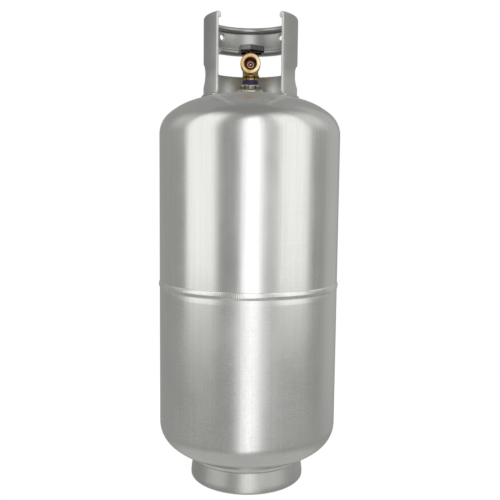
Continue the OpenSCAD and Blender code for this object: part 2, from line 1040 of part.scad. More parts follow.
module bleed_screw() {
    thread_r = bleed_bore_r - running_gap;
    head_low = bleed_arm_reach + bleed_gasket_t;
    head_high = head_low + bleed_head_h;
    cone_h = 1.4;
    slot = [10, 1, 1.3];
    grips = 12;
    grip_r = 0.5;
    color("goldenrod")
        along_bleed()
            difference() {
                union() {
                    translate([0, 0, bleed_seat_reach])
                        cylinder(h = cone_h, r1 = dip_bore_r, r2 = thread_r);
                    rod(bleed_seat_reach + cone_h, head_low, thread_r);
                    rod(head_low, head_high, bleed_head_r);
                }
                translate([-slot[0] / 2, -slot[1] / 2, head_high - slot[2]])
                    cube([slot[0], slot[1], slot[2] + 1]);
                for (i = [0 : grips - 1])
                    rotate([0, 0, 360 * i / grips])
                        translate([bleed_head_r + 0.2, 0, 0])
                            rod(head_low - 1, head_high + 1, grip_r);
            }
}

module dip_tube() {
    color("lightgray")
        rotate([0, 0, front + bleed_turn])
            translate([dip_reach, 0, 0])
                tube(dip_low_z, dip_top_z, dip_r, dip_bore_r);
}

// Overfill protection -------------------------------------------------------------------------

module opd_housing() {
    port_r = 1.8;
    ports = 4;
    color("dimgray")
        difference() {
            union() {
                rod(opd_low_z, shank_low_z, opd_r);
                rod(shank_low_z, opd_spigot_z, opd_socket_r);
            }
            rod(opd_bore_z[0], opd_bore_z[1], opd_bore_r);
            rod(opd_bore_z[1] - 1, opd_spigot_z + 1, inlet_r);
            rod(opd_low_z - 1, opd_bore_z[0] + 1, piston_stem_r + running_gap);
            // filling ports above the piston
            for (i = [0 : ports - 1])
                rotate([0, 0, 360 * i / ports])
                    translate([0, 0, opd_port_z])
                        rotate([0, 90, 0])
                            cylinder(h = opd_r + 1, r = port_r);
            // slot and cross hole for the float arm
            translate([-arm_slot_w / 2, -opd_r - 1, opd_low_z - 1])
                cube([arm_slot_w, 2 * opd_r + 2, arm_slot_h + 1]);
            translate([-opd_r - 1, 0, pivot_z])
                rotate([0, 90, 0])
                    cylinder(h = 2 * opd_r + 2, r = pin_r);
        }
}

module opd_piston() {
    color("ivory") {
        rod(piston_z[0], piston_z[1], opd_bore_r - running_gap);
        rod(pivot_z + arm_hub_r + running_gap, piston_z[0], piston_stem_r);
    }
}

module opd_seal() {
    color("black")
        rod(piston_z[1], piston_z[1] + opd_seal_h, opd_seal_r);
}

module opd_spring() {
    color("lightgray")
        coil(opd_bore_z[0], piston_z[0], opd_coil[0], opd_coil[1], opd_coil[2]);
}

module float_pin() {
    color("lightgray")
        translate([-opd_r, 0, pivot_z])
            rotate([0, 90, 0])
                rod(0, 2 * opd_r, pin_r);
}

// Frame with its +Z along the float arm, which hangs towards +Y
module along_float_arm() {
    translate([0, 0, pivot_z])
        rotate([-90 - float_droop, 0, 0])
            children();
}

module float_arm() {
    color("lightgray")
        difference() {
            union() {
                translate([-arm_w / 2, 0, pivot_z])
                    rotate([0, 90, 0])
                        rod(0, arm_w, arm_hub_r);
                along_float_arm()
                    rod(0, arm_len + float_len, arm_rod_r);
            }
            translate([-arm_w, 0, pivot_z])
                rotate([0, 90, 0])
                    rod(0, 2 * arm_w, pin_r + running_gap);
        }
}

module float() {
    bevel = 2;
    color("darkred")
        along_float_arm()
            difference() {
                rotate_extrude()
                    polygon([
                        [0, arm_len],
                        [float_r - bevel, arm_len],
                        [float_r, arm_len + bevel],
                        [float_r, arm_len + float_len - bevel],
                        [float_r - bevel, arm_len + float_len],
                        [0, arm_len + float_len]
                    ]);
                rod(arm_len - 1, arm_len + float_len + 1, arm_rod_r);
            }
}

upper_shell();
lower_shell();
girth_weld();
foot_ring();
foot_weld();
collar();
collar_weld();
valve_boss();
boss_weld();
thread_sealant();
valve_body();
bonnet();
bonnet_gasket();
stem_upper();
stem_orings();
handwheel();
handwheel_screw();
stem_lower();
seat_disc();
outlet_plunger();
outlet_seal();
outlet_spring();
outlet_retainer();
relief_poppet();
relief_seal();
relief_spring();
relief_adjuster();
relief_cap();
bleed_screw();
bleed_gasket();
dip_tube();
opd_housing();
opd_piston();
opd_seal();
opd_spring();
float_pin();
float_arm();
float();
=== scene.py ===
"""Looks of an upright aluminium propane tank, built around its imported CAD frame. Lengths are in metres."""
import json
import math

import bmesh
import bpy
from mathutils import Matrix, Vector, noise


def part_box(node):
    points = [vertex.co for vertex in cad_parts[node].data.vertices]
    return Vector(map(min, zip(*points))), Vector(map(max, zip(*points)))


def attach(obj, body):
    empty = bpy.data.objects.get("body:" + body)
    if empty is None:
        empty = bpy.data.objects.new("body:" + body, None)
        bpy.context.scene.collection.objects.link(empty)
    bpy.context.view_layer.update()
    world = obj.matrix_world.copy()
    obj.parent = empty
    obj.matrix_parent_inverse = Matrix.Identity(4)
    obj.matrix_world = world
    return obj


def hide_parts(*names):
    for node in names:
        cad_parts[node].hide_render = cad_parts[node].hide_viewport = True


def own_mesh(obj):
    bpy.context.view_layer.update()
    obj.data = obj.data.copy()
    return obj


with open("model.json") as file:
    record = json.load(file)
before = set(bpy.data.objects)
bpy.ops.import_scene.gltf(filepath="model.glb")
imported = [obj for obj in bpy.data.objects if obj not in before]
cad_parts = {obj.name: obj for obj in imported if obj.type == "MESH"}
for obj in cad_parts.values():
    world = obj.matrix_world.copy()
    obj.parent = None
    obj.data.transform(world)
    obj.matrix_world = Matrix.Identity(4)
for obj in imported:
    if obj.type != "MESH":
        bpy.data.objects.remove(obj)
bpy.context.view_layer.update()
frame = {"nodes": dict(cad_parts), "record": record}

MM = 0.001
ON_AXIS = 1e-7

RECORD = frame["record"]
BODY_OF = {node: body for body, nodes in RECORD["behaviour"]["bodies"].items() for node in nodes}
SLOT_OF = {part["node"]: part["material_slot"] for part in RECORD["subparts"]}

# Shell: radius and heights from the frame, arcs of the domed ends as designed, and the height of a
# row of faces on its straight wall
SHELL_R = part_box("upper_shell")[1].x
APEX_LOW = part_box("lower_shell")[0].z
HEAD_DEPTH = 73.06 * MM
LOWER_TANGENT = APEX_LOW + HEAD_DEPTH
UPPER_TANGENT = 603.4 * MM
WALL = 3.7 * MM
KNUCKLE_R, KNUCKLE_TURN = 46 * MM, 50
SHOULDER_R, SHOULDER_TURN = 122 * MM, 72.6
SHELL_ROW = 9 * MM

# Height above which the top head is dulled by welding heat, over what height, and how much rougher
HEATED_Z = 648 * MM
HEAT_FADE = 16 * MM
HEAT_DULLING = 0.4

# Boss: its radius, the shoulder on its side, the spigot above it and the height below which its sides are
# painted dark as shade
BOSS_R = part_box("valve_boss")[1].x
BOSS_BORE_R = 13 * MM
BOSS_SHOULDER_Z = 679 * MM
BOSS_LAND_R = 17.1 * MM
BOSS_CHAMFER = 2 * MM
BOSS_SHADE_TOP_Z = 685.5 * MM

# Valve: the outlet's axis, where its threaded end starts, how wide its bore painted dark as shade is,
# the heights of the body's waist and foot painted dark as shade, the height below which the
# handwheel's sides are painted dark as shade, and the pitch of the screwed joint
OUTLET_Z = 719 * MM
MOUTH_Y = -24 * MM
DARK_BORE_R = 10.1 * MM
WAIST = (699.2 * MM, 703.2 * MM)
BODY_FOOT = (660 * MM, 696.6 * MM)
WHEEL_SKIRT_Z = 746.2 * MM
THREAD_PITCH = 1.8 * MM

# Degrees in a radian as the noise along the welds takes it: a closer value would move their ripples
DEGREES_A_RADIAN = 57.3

# Girth weld and the step of the lower half under it
BEAD_LOW, BEAD_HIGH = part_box("girth_weld")[0].z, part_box("girth_weld")[1].z
BEAD_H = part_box("girth_weld")[1].x - SHELL_R
SEAM_BEVEL = 4 * MM
STEP_R = SHELL_R - WALL - 0.1 * MM
STEP_RISE = 6 * MM
STEP_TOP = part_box("lower_shell")[1].z

# Foot ring
FOOT_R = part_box("foot_ring")[1].x
FOOT_NECK_R = 95.3 * MM
FOOT_WALL = 3.5 * MM
FOOT_FLANGE_R = 84 * MM
FOOT_CORNER_R = 4 * MM
FOOT_LAND_Z, FOOT_NECK_Z = 8 * MM, 44 * MM
FOOT_TOP_Z = 41.5 * MM
FOOT_WELD_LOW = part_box("foot_weld")[0].z
FOOT_WELD_LEG = (8 * MM, 10 * MM)

# Collar
COLLAR_R = 80.5 * MM
COLLAR_TURN = -1.2
GAP_HALF = 42.4
# Heights over which the collar's lower part fades from a painted reflection into the plate's own tone
COLLAR_PAINTED_REFLECTION = (692 * MM, 712 * MM)

# CAD pieces whose edges are softened: new name, node, size of the remeshed cells, smoothing passes
SOFTENED = (
    ("valve_casting", "valve_body", 0.25 * MM, 6),
    ("bonnet_nut", "bonnet", 0.22 * MM, 4),
    ("knob", "handwheel", 0.3 * MM, 3),
    ("knob_screw", "handwheel_screw", 0.15 * MM, 3),
    ("check_plunger", "outlet_plunger", 0.15 * MM, 3),
    ("relief_plug", "relief_cap", 0.2 * MM, 4),
    ("bleed_plug", "bleed_screw", 0.12 * MM, 3),
    ("collar_plate", "collar", 0.7 * MM, 5),
)


# Meshes -------------------------------------------------------------------------------------------

def unit(degrees):
    """Unit vector in a plane at an angle from its first axis."""
    return Vector((math.cos(math.radians(degrees)), math.sin(math.radians(degrees))))


def arc(centre, radius, start, end, steps):
    """Points of an arc from one angle to another, both ends included."""
    centre = Vector(centre)
    return [centre + radius * unit(start + (end - start) * i / steps) for i in range(steps + 1)]


def divided(outline, longest, closed=True):
    """An outline with its long sides cut into equal lengths."""
    made = []
    pairs = zip(outline, outline[1:] + outline[:1]) if closed else zip(outline, outline[1:])
    for a, b in pairs:
        a, b = Vector(a), Vector(b)
        count = max(1, math.ceil((b - a).length / longest))
        made += [a.lerp(b, i / count) for i in range(count)]
    return made if closed else made + [Vector(outline[-1])]


def rounded(outline, radius, steps=3, sharpest=20):
    """A closed outline with each corner sharper than some angle rounded off."""
    made = []
    count = len(outline)
    for i in range(count):
        before, here, after = (Vector(outline[(i + k) % count]) for k in (-1, 0, 1))
        into, out = (here - before), (after - here)
        turn = into.angle(out, 0)
        if math.degrees(turn) < sharpest:
            made.append(here)
            continue
        cut = min(radius * math.tan(turn / 2), 0.45 * into.length, 0.45 * out.length)
        first, last = here - into.normalized() * cut, here + out.normalized() * cut
        for k in range(steps + 1):
            t = k / steps
            made.append(first.lerp(here, t).lerp(here.lerp(last, t), t))
    return made


def finish_mesh(name, bm, sharp=40):
    """Mesh object from a bmesh: smooth faces, with edges kept sharp above an angle."""
    bmesh.ops.recalc_face_normals(bm, faces=bm.faces)
    for face in bm.faces:
        face.smooth = True
    for edge in bm.edges:
        if len(edge.link_faces) == 2:
            edge.smooth = edge.calc_face_angle(0) < math.radians(sharp)
    mesh = bpy.data.meshes.new(name)
    bm.to_mesh(mesh)
    bm.free()
    made = bpy.data.objects.new(name, mesh)
    bpy.context.scene.collection.objects.link(made)
    return made


def revolve(name, outline, steps=256, start=0, sweep=360, wobble=None, sharp=40):
    """Closed surface made by turning a closed half-outline (radius, height) about the tank's axis.

    Points on the axis become single vertices. wobble(point, degrees) moves a point before it turns.
    """
    bm = bmesh.new()
    full = sweep == 360
    turns = steps if full else steps + 1
    rings = []
    for point in outline:
        if point[0] < ON_AXIS:
            rings.append([bm.verts.new((0, 0, point[1]))])
            continue
        ring = []
        for i in range(turns):
            angle = start + sweep * i / steps
            radius, height = wobble(Vector(point), angle) if wobble else point
            side = unit(angle)
            ring.append(bm.verts.new((radius * side.x, radius * side.y, height)))
        rings.append(ring)
    single = [len(ring) == 1 for ring in rings]
    count = len(rings)
    for k in range(count):
        low, high = rings[k], rings[(k + 1) % count]
        if single[k] and single[(k + 1) % count]:
            continue
        for i in range(steps):
            j = (i + 1) % turns
            corners = [low[i % len(low)], low[j % len(low)], high[j % len(high)], high[i % len(high)]]
            bm.faces.new(list(dict.fromkeys(corners)))
    if not full:
        for end in (0, -1):
            bm.faces.new([ring[end] for ring in rings])
    return finish_mesh(name, bm, sharp)


def stand_for(piece, node):
    """A new piece takes the body of the CAD node it stands for, and the node is hidden."""
    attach(piece, BODY_OF[node])
    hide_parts(node)
    return piece


def paint(piece, material):
    """Gives a piece one material, in place of any that it has."""
    piece.data.materials.clear()
    piece.data.materials.append(material)
    return piece


def soften(name, node, cell, passes):
    """A copy of a CAD node with its edges slightly rounded: remeshed finely, then smoothed."""
    rough = bpy.data.objects.new(name + "_rough", frame["nodes"][node].data.copy())
    bpy.context.scene.collection.objects.link(rough)
    remesh = rough.modifiers.new("Remesh", "REMESH")
    remesh.mode = "VOXEL"
    remesh.voxel_size = cell
    smooth = rough.modifiers.new("Smooth", "SMOOTH")
    smooth.factor = 0.5
    smooth.iterations = passes
    graph = bpy.context.evaluated_depsgraph_get()
    bm = bmesh.new()
    bm.from_mesh(rough.evaluated_get(graph).data)
    bpy.data.objects.remove(rough)
    return stand_for(finish_mesh(name, bm, sharp=60), node)


# Materials ----------------------------------------------------------------------------------------

class Nodes:
    """The node tree of a material or a world, with short calls to add, join and reckon."""

    def __init__(self, owner):
        owner.use_nodes = True
        self.tree = owner.node_tree
        self.tree.nodes.clear()

    def add(self, kind, inputs=None, **settings):
        """A new node. Each input is a plain value or another node's output."""
        made = self.tree.nodes.new("ShaderNode" + kind)
        for key, value in settings.items():
            setattr(made, key, value)
        for key, value in (inputs or {}).items():
            if isinstance(value, bpy.types.NodeSocket):
                self.tree.links.new(value, made.inputs[key])
            else:
                made.inputs[key].default_value = value
        return made

    def math(self, operation, a, b=0.0):
        return self.add("Math", {0: a, 1: b}, operation=operation).outputs[0]

    def sum(self, a, b):
        return self.math("ADD", a, b)

    def less(self, a, b):
        return self.math("SUBTRACT", a, b)

    def times(self, a, b):
        return self.math("MULTIPLY", a, b)


class Graph(Nodes):
    """One material's nodes, with the patterns that its colour, roughness and bump are made of."""

    def __init__(self, name):
        self.material = bpy.data.materials.new(name)
        super().__init__(self.material)
        self.place = self.add("TexCoord").outputs["Object"]
        self.x, self.y, self.z = self.add("SeparateXYZ", {0: self.place}).outputs

    def noise(self, stretch, detail=3, roughness=0.55, distortion=0.0):
        """Noise from 0 to 1 whose scale along each axis is given per metre."""
        where = self.add("Mapping", {"Vector": self.place, "Scale": stretch}).outputs[0]
        return self.add("TexNoise", {"Vector": where, "Scale": 1.0, "Detail": detail,
                                     "Roughness": roughness, "Distortion": distortion}).outputs["Fac"]

    def spread(self, value, low, high, from_low=0.3, from_high=0.7):
        """A value mapped from its usual range onto another one."""
        return self.add("MapRange", {"Value": value, "From Min": from_low, "From Max": from_high,
                                     "To Min": low, "To Max": high}).outputs[0]

    def normal(self):
        """The x, y and z of the surface's own direction."""
        return self.add("SeparateXYZ", {0: self.add("TexCoord").outputs["Normal"]}).outputs

    def blend(self, share, a, b):
        """Colour a where share is 0 and colour b where it is 1."""
        made = self.add("Mix", {"Factor": share}, data_type="RGBA")
        for socket, value in zip((made.inputs[6], made.inputs[7]), (a, b)):
            if isinstance(value, bpy.types.NodeSocket):
                self.tree.links.new(value, socket)
            else:
                socket.default_value = (*value, 1)
        return made.outputs[2]

    def bump(self, height, distance):
        """Surface direction of a pattern that stands up by a distance."""
        return self.add("Bump", {"Height": height, "Distance": distance, "Strength": 1.0}).outputs[0]

    def band(self, value, low, high, soft=0.5 * MM):
        """1 between two places and 0 outside them."""
        rise = self.spread(value, 0.0, 1.0, low - soft, low + soft)
        return self.times(rise, self.spread(value, 1.0, 0.0, high - soft, high + soft))

    def edges(self, low=0.52, high=0.62):
        """1 on outward edges and 0 elsewhere, for wear."""
        point = self.add("NewGeometry").outputs["Pointiness"]
        return self.spread(point, 0.0, 1.0, low, high)

    def end(self, **inputs):
        """Joins up the material's surface from named inputs."""
        names = {"colour": "Base Color", "metallic": "Metallic", "roughness": "Roughness",
                 "normal": "Normal", "aniso": "Anisotropic", "tangent": "Tangent", "ior": "IOR"}
        shader = self.add("BsdfPrincipled", {names[k]: v for k, v in inputs.items()})
        self.add("OutputMaterial", {0: shader.outputs[0]})
        return self.material


def scaled(colour, share):
    """A colour made brighter or darker."""
    return [min(1, share * channel) for channel in colour]


def turned_aluminium(name, tone, roughness, ring_depth, cloud=0.05, dull_from=None):
    """Bare aluminium with fine rings round the tank's axis, faint upright draw marks and cloudy marks.

    cloud is how far the clouds change the roughness. Above the height dull_from the metal is duller,
    where welding heated it.
    """
    g = Graph(name)
    rings = g.noise((6, 6, 1500), detail=4)
    draws = g.noise((260, 260, 4), detail=3)
    clouds = g.noise((9, 9, 7), detail=5, roughness=0.6)
    specks = g.noise((240, 240, 240), detail=2)
    rough = g.sum(g.spread(clouds, roughness - cloud, roughness + cloud), g.spread(rings, -0.03, 0.03))
    rough = g.sum(rough, g.spread(specks, -0.02, 0.02))
    if dull_from:
        rough = g.sum(rough, g.spread(g.z, 0.0, HEAT_DULLING, dull_from, dull_from + HEAT_FADE))
    streaks = g.spread(g.times(clouds, draws), 0.0, 1.0, 0.12, 0.4)
    colour = g.blend(streaks, scaled(tone, 0.94), scaled(tone, 1.03))
    tangent = g.add("Tangent", direction_type="RADIAL", axis="Z").outputs[0]
    return g.end(colour=colour, metallic=1.0, roughness=rough, aniso=0.25, tangent=tangent,
                 normal=g.bump(g.sum(rings, g.times(draws, 0.5)), ring_depth))


def boss_aluminium():
    """Machined top face over sides painted dark as shade, for the dark surroundings they reflect."""
    g = Graph("boss")
    rings = g.noise((60, 60, 2500), detail=3)
    clouds = g.noise((120, 120, 90), detail=4)
    # Painted shade: the boss's sides are painted dark below its top
    shaded_sides = g.blend(g.spread(clouds, 0.0, 1.0), (0.16, 0.16, 0.14), (0.30, 0.30, 0.27))
    top_share = g.spread(g.z, 0.0, 1.0, BOSS_SHADE_TOP_Z, BOSS_SHADE_TOP_Z + 1.5 * MM)
    colour = g.blend(top_share, shaded_sides, (0.78, 0.78, 0.77))
    return g.end(colour=colour, metallic=1.0, roughness=g.spread(clouds, 0.22, 0.34),
                 normal=g.bump(rings, 0.02 * MM))


def collar_aluminium():
    """Rolled plate: rolling marks along the plate, scuffs, cut edges brighter than the faces, and a lower
    part painted paler as a painted reflection.
    """
    g = Graph("collar")
    rolling = g.noise((30, 30, 900), detail=4)
    clouds = g.noise((22, 22, 16), detail=5, roughness=0.6)
    scuffs = g.noise((140, 140, 500), detail=3, distortion=0.6)
    normal = g.normal()
    round_axis = g.math("ABSOLUTE", g.less(g.times(normal[0], g.y), g.times(normal[1], g.x)))
    cut = g.spread(round_axis, 0.0, 1.0, 0.6 * COLLAR_R, 0.9 * COLLAR_R)
    plate = g.blend(g.spread(clouds, 0.0, 1.0), (0.45, 0.45, 0.445), (0.53, 0.53, 0.525))
    # Painted reflection: the collar's plate is painted paler low down near its base
    plate = g.blend(g.spread(g.z, 1.0, 0.0, *COLLAR_PAINTED_REFLECTION), plate, (0.66, 0.66, 0.655))
    colour = g.blend(cut, plate, (0.97, 0.97, 0.96))
    rough = g.sum(g.spread(clouds, 0.28, 0.38), g.spread(scuffs, -0.04, 0.05))
    rough = g.sum(rough, g.times(cut, 0.15))
    return g.end(colour=colour, metallic=1.0, roughness=rough,
                 normal=g.bump(g.sum(rolling, scuffs), 0.02 * MM))


def weld_metal(name="weld", level=1.0, tint=(1, 1, 0.99)):
    """Clean weld metal. level is how bright it is."""
    g = Graph(name)
    grain = g.noise((700, 700, 700), detail=3)
    clouds = g.noise((60, 60, 60), detail=3)
    colour = g.blend(g.spread(clouds, 0.0, 1.0), scaled(tint, 0.78 * level), scaled(tint, 0.90 * level))
    return g.end(colour=colour, metallic=1.0, roughness=g.spread(grain, 0.20, 0.30),
                 normal=g.bump(grain, 0.012 * MM))


def from_outlet(g):
    """Distance of a point from the outlet's axis."""
    rise = g.less(g.z, OUTLET_Z)
    return g.math("POWER", g.sum(g.times(g.x, g.x), g.times(rise, rise)), 0.5)


def brass(name, tone, roughness, tarnish):
    """Machined and forged brass: fine tool marks, darker tarnish in blotches, bright worn edges.

    The outlet's bore, the body's waist and its foot are painted dark as shade, the top of its mouth is
    painted copper red as a painted reflection, and the mouth's right side is painted pale as a painted
    highlight.
    """
    g = Graph(name)
    marks = g.noise((300, 2400, 2400), detail=3)
    blotch = g.noise((130, 130, 130), detail=5, roughness=0.65)
    pits = g.noise((1500, 1500, 1500), detail=2)
    aged = g.blend(g.spread(blotch, 0.0, 1.0, 0.35, 0.7), tone, tarnish)
    colour = g.blend(g.edges(), aged, scaled(tone, 1.15))
    mouth = g.spread(g.y, 1.0, 0.0, MOUTH_Y - 0.5 * MM, MOUTH_Y + 0.5 * MM)
    bore_shade = g.spread(from_outlet(g), 1.0, 0.0, DARK_BORE_R - 0.5 * MM, DARK_BORE_R + 0.5 * MM)
    # Painted reflection and highlight: the top of the mouth is painted copper red, its right side pale
    red = g.times(mouth, g.spread(g.z, 0.0, 0.5, OUTLET_Z + 3 * MM, OUTLET_Z + 10 * MM))
    pale = g.times(mouth, g.spread(g.x, 0.0, 0.55, 2 * MM, 12 * MM))
    colour = g.blend(pale, colour, (0.92, 0.84, 0.62))
    colour = g.blend(red, colour, (0.62, 0.36, 0.22))
    # Painted shade: the body's waist and foot and the outlet's bore are painted dark
    colour = g.blend(g.times(g.band(g.z, *WAIST), 0.85), colour, scaled(tarnish, 0.2))
    colour = g.blend(g.band(g.z, *BODY_FOOT), colour, (0.02, 0.024, 0.014))
    colour = g.blend(g.times(g.times(mouth, bore_shade), 0.9), colour, (0.09, 0.035, 0.018))
    rough = g.sum(g.spread(blotch, roughness - 0.06, roughness + 0.1), g.spread(marks, -0.03, 0.03))
    return g.end(colour=colour, metallic=1.0, roughness=rough,
                 normal=g.bump(g.sum(marks, pits), 0.015 * MM))


def plunger_brass():
    """Dull pinkish brass with a bright rim and post, and the dish between them painted dark as shade."""
    g = Graph("plunger")
    reach = from_outlet(g)
    rim = g.band(reach, 4.0 * MM, 5.2 * MM, 0.2 * MM)
    post = g.spread(reach, 1.0, 0.0, 1.5 * MM, 1.8 * MM)
    blotch = g.noise((400, 400, 400), detail=4)
    bright = g.blend(g.spread(blotch, 0.0, 1.0), (0.62, 0.42, 0.32), (0.80, 0.62, 0.50))
    # Painted shade: the dish between the rim and the post is painted nearly black
    colour = g.blend(g.sum(rim, post), (0.05, 0.02, 0.012), bright)
    return g.end(colour=colour, metallic=1.0, roughness=g.spread(blotch, 0.26, 0.40),
                 normal=g.bump(blotch, 0.02 * MM))


def moulded(name, tone, worn, roughness, grain=1800, depth=0.02 * MM, ior=1.5, under=1.0, shaded_below=None):
    """Moulded plastic or rubber: fine texture, uneven tone and paler rubbed edges.

    grain is the scale of the texture per metre and depth its height. under is the share of the tone
    kept on faces that look down, which are painted dark as shade. Given a height as the last argument,
    the sides below it are painted dark as shade in the same way and made less shiny.
    """
    g = Graph(name)
    texture = g.noise((grain, grain, grain), detail=2)
    clouds = g.noise((90, 90, 90), detail=4)
    base = g.blend(g.spread(clouds, 0.0, 1.0), tone, scaled(tone, 1.25))
    colour = g.blend(g.times(g.edges(), 0.35), base, worn)
    # Painted shade: faces that look down are darkened
    if under < 1:
        colour = g.blend(g.spread(g.normal()[2], 1.0, 0.0, -0.8, -0.4), colour, scaled(tone, under))
    # Painted shade: the sides below a height are darkened and made less shiny
    if shaded_below:
        fade = (shaded_below - 0.6 * MM, shaded_below + 0.6 * MM)
        colour = g.blend(g.spread(g.z, 1.0, 0.0, *fade), colour, scaled(tone, under))
        ior = g.spread(g.z, 1.35, ior, *fade)
    rough = g.spread(clouds, roughness - 0.06, roughness + 0.08)
    return g.end(colour=colour, metallic=0.0, roughness=rough, ior=ior, normal=g.bump(texture, depth))


def drawn_steel(name, tone, roughness):
    """Bright steel wire or rod with fine lines along it."""
    g = Graph(name)
    lines = g.noise((3000, 3000, 300), detail=3)
    clouds = g.noise((200, 200, 200), detail=3)
    colour = g.blend(g.spread(clouds, 0.0, 1.0), scaled(tone, 0.85), tone)
    return g.end(colour=colour, metallic=1.0, roughness=g.spread(lines, roughness - 0.05, roughness + 0.07),
                 normal=g.bump(lines, 0.01 * MM))


UPPER_METAL = turned_aluminium("shell_upper", (0.80, 0.802, 0.795), 0.20, 0.010 * MM, dull_from=HEATED_Z)
LOWER_METAL = turned_aluminium("shell_lower", (0.79, 0.795, 0.785), 0.27, 0.006 * MM)
FOOT_METAL = turned_aluminium("foot", (0.645, 0.645, 0.63), 0.34, 0.02 * MM, cloud=0.07)
BOSS_METAL = boss_aluminium()

# The other finishes, by the record's material slots
MATERIALS = {
    "collar": collar_aluminium(),
    "weld": weld_metal(),
    "brass": brass("brass", (0.76, 0.54, 0.25), 0.24, (0.42, 0.26, 0.10)),
    # The retainer deep in the outlet's bore is brass painted nearly black as shade
    "retainer": brass("retainer", (0.10, 0.045, 0.02), 0.40, (0.05, 0.02, 0.01)),
    "plunger": plunger_brass(),
    # The handwheel's underside and its sides below the skirt are painted dark as shade
    "handwheel": moulded("handwheel", (0.13, 0.125, 0.14), (0.36, 0.36, 0.38), 0.22, ior=2.3,
                         under=0.06, shaded_below=WHEEL_SKIRT_Z),
    "sealant": moulded("sealant", (0.05, 0.04, 0.14), (0.10, 0.09, 0.24), 0.38, 900, 0.06 * MM),
    "rubber": moulded("rubber", (0.018, 0.018, 0.018), (0.06, 0.06, 0.06), 0.55),
    "gasket": moulded("gasket", (0.09, 0.09, 0.09), (0.16, 0.16, 0.15), 0.7, 1200, 0.05 * MM),
    "cap": moulded("cap", (0.72, 0.46, 0.03), (0.85, 0.65, 0.15), 0.3),
    "opd_plastic": moulded("opd_plastic", (0.03, 0.032, 0.035), (0.10, 0.10, 0.11), 0.42),
    "piston_plastic": moulded("piston_plastic", (0.66, 0.65, 0.58), (0.8, 0.79, 0.72), 0.38),
    "float_foam": moulded("float_foam", (0.10, 0.045, 0.03), (0.2, 0.1, 0.07), 0.8, 600, 0.2 * MM),
    "spring": drawn_steel("spring", (0.72, 0.72, 0.71), 0.24),
    "steel": drawn_steel("steel", (0.70, 0.70, 0.69), 0.26),
}


# Shell --------------------------------------------------------------------------------------------

def head_outline(inset):
    """Half outline of a domed end from its tangent line to the axis, as (radius, height above the line)."""
    knuckle = Vector((SHELL_R - KNUCKLE_R, 0))
    shoulder = knuckle - (SHOULDER_R - KNUCKLE_R) * unit(KNUCKLE_TURN)
    crown_r = SHOULDER_R + shoulder.x / math.cos(math.radians(SHOULDER_TURN))
    crown = shoulder - (crown_r - SHOULDER_R) * unit(SHOULDER_TURN)
    points = arc(knuckle, KNUCKLE_R - inset, 0, KNUCKLE_TURN, 20)
    points += arc(shoulder, SHOULDER_R - inset, KNUCKLE_TURN, SHOULDER_TURN, 14)[1:]
    points += arc(crown, crown_r - inset, SHOULDER_TURN, 90, 30)[1:]
    return points


def up_to_radius(outline, least):
    """The part of an outline that comes in towards the axis as far as a radius, ended exactly there."""
    kept = [p for p in outline if p.x > least]
    first_out = outline[len(kept)]
    share = (kept[-1].x - least) / (kept[-1].x - first_out.x)
    return kept + [kept[-1].lerp(first_out, share)]


def shell_upper():
    """Upper half of the shell: its wall down to the seam and its head up to the boss."""
    lift = Vector((0, UPPER_TANGENT))
    outer = [p + lift for p in up_to_radius(head_outline(0), BOSS_R)]
    inner = [p + lift for p in up_to_radius(head_outline(WALL), BOSS_R)]
    straight = divided([Vector((SHELL_R, BEAD_HIGH)), outer[0]], SHELL_ROW, closed=False)[:-1]
    root = Vector((SHELL_R - WALL, BEAD_HIGH - SEAM_BEVEL))
    straight_in = divided([root, inner[0]], SHELL_ROW, closed=False)[:-1]
    outline = straight + outer + inner[::-1] + straight_in[::-1]
    piece = revolve("shell_upper", outline, steps=320)
    return paint(stand_for(piece, "upper_shell"), UPPER_METAL)


def shell_lower():
    """Lower half of the shell, with its edge stepped in under the upper half."""
    outer, inner = ([Vector((p.x, LOWER_TANGENT - p.y)) for p in head_outline(inset)] for inset in (0, WALL))
    outer[-1].x = inner[-1].x = 0
    straight = divided([outer[0], Vector((SHELL_R, BEAD_LOW))], SHELL_ROW, closed=False)[1:]
    step_low = BEAD_LOW + STEP_RISE
    step = [Vector((STEP_R, step_low)), Vector((STEP_R, STEP_TOP)),
            Vector((STEP_R - WALL, STEP_TOP)), Vector((STEP_R - WALL, step_low))]
    straight_in = divided([Vector((SHELL_R - WALL, BEAD_LOW)), inner[0]], SHELL_ROW, closed=False)[:-1]
    outline = outer[::-1] + straight + step + straight_in + inner
    piece = revolve("shell_lower", outline, steps=320)
    return paint(stand_for(piece, "lower_shell"), LOWER_METAL)


# Welds --------------------------------------------------------------------------------------------

def wander(degrees, pitch, seed):
    """Smooth noise from -1 to 1 along a closed way round the axis, with a pitch in degrees."""
    side = unit(degrees) * (DEGREES_A_RADIAN / pitch)
    return noise.noise(Vector((side.x, side.y, seed)))


def travel(degrees, radius, pitch):
    """Phase of the ripples that a moving weld pool leaves, each pitch long."""
    return math.radians(degrees) * radius / pitch * math.tau


def bead(name, node, centre, radius, pitch, ripple, start=0, sweep=360, steps=1440, metal=None):
    """Weld bead round the tank's axis: a tube whose surface carries the ripples of the moving arc.

    centre is (radius, height) of the tube, pitch the length of a ripple and ripple its depth. A bead
    that does not go all the way round has a fuller blob at each end.
    """
    centre = Vector(centre)
    blob = math.degrees(radius / centre.x)

    def place(point, degrees):
        off = point - centre
        lean = off.angle_signed(Vector((1, 1)))
        wave = math.cos(travel(degrees, centre.x, pitch) + 1.8 * lean * lean + 0.8 * wander(degrees, 6, 3))
        grow = 1 + ripple / radius * (wave - 1) / 2 + 0.05 * wander(degrees, 9, 7)
        if sweep < 360:
            near = min(degrees - start, start + sweep - degrees) / blob
            grow *= math.sqrt(max(0.0, 1 - (1 - min(1, near)) ** 2))
            grow *= 1 + 0.12 * math.exp(-((near - 1.3) / 1.2) ** 2)
            grow = max(grow, 0.02)
        return centre + off * grow

    points = 18
    ring = [centre + radius * unit(360 * i / points) for i in range(points)]
    piece = revolve(name, ring, steps=steps, start=start, sweep=sweep, wobble=place, sharp=75)
    return paint(stand_for(piece, node), metal or MATERIALS["weld"])


